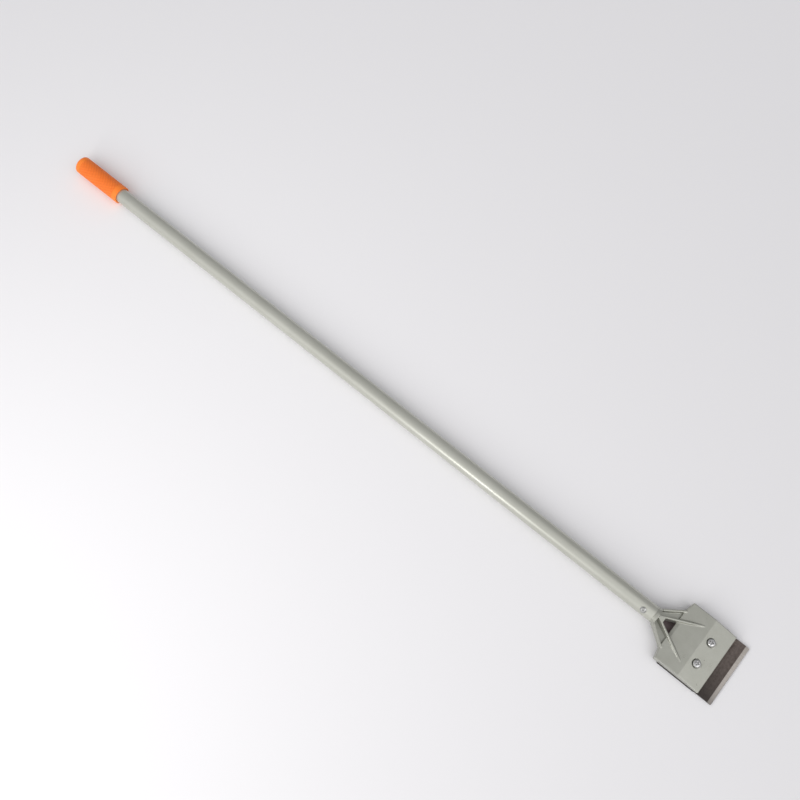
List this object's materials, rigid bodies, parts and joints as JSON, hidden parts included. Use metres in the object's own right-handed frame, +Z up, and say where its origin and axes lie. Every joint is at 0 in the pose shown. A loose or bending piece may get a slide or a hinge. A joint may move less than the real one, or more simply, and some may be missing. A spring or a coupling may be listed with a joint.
{
  "type": "algae scraper",
  "caption": "Long level tube handle with a sleeve grip and a cast head that clamps a wide, flat, replaceable blade, for scraping algae from walls and floors of ponds and tanks.",
  "frame": {"origin": "on the ground under the middle of the overall length, between the grip's closed end and the cutting edge", "axes": "+X along the handle towards the blade, +Y to the left, +Z up from the ground that the grip and the clamp plate lie on"},
  "size_m": [1.336, 0.1006, 0.031],
  "materials": {
    "tube_paint": "satin silver-grey paint on steel tube",
    "grip_vinyl": "soft orange vinyl with a fine lattice texture",
    "head_paint": "satin silver-grey paint on die-cast aluminium",
    "blade_steel": "dark hardened steel with a ground bevel",
    "clamp_steel": "dark phosphated steel strip",
    "zinc_steel": "bright zinc plate",
    "rivet_aluminium": "bare aluminium",
    "mandrel_steel": "broken steel stem"
  },
  "bodies": {
    "handle_and_head": {"handle_tube": "tube_paint", "hand_grip": "grip_vinyl", "head_casting": "head_paint", "tube_rivet": "rivet_aluminium", "rivet_mandrel": "mandrel_steel"},
    "clamp": {"clamp_plate": "clamp_steel", "left_clamp_nut": "zinc_steel", "right_clamp_nut": "zinc_steel"},
    "blade": {"scraper_blade": "blade_steel"},
    "left_screw": {"left_clamp_screw": "zinc_steel", "left_lock_washer": "zinc_steel"},
    "right_screw": {"right_clamp_screw": "zinc_steel", "right_lock_washer": "zinc_steel"}
  },
  "joints": [
    {"name": "left_screw_turn", "type": "hinge", "parent": "handle_and_head", "child": "left_screw", "pos_m": [0.6197, 0.0185, 0.0155], "axis": [0, 0, 1], "range_deg": [0, 360]},
    {"name": "right_screw_turn", "type": "hinge", "parent": "handle_and_head", "child": "right_screw", "pos_m": [0.6197, -0.0185, 0.0155], "axis": [0, 0, 1], "range_deg": [0, 360]},
    {"name": "clamp_release", "type": "slide", "parent": "handle_and_head", "child": "clamp", "axis": [0, 0, -1], "range_m": [0, 0.001]},
    {"name": "blade_slide", "type": "slide", "parent": "handle_and_head", "child": "blade", "axis": [1, 0, 0], "range_m": [0, 0.034]}
  ],
  "couplings": [
    {"joint": "left_screw_turn", "follows": "clamp_release", "rad_per_m": 6283.2},
    {"joint": "right_screw_turn", "follows": "clamp_release", "rad_per_m": 6283.2}
  ]
}
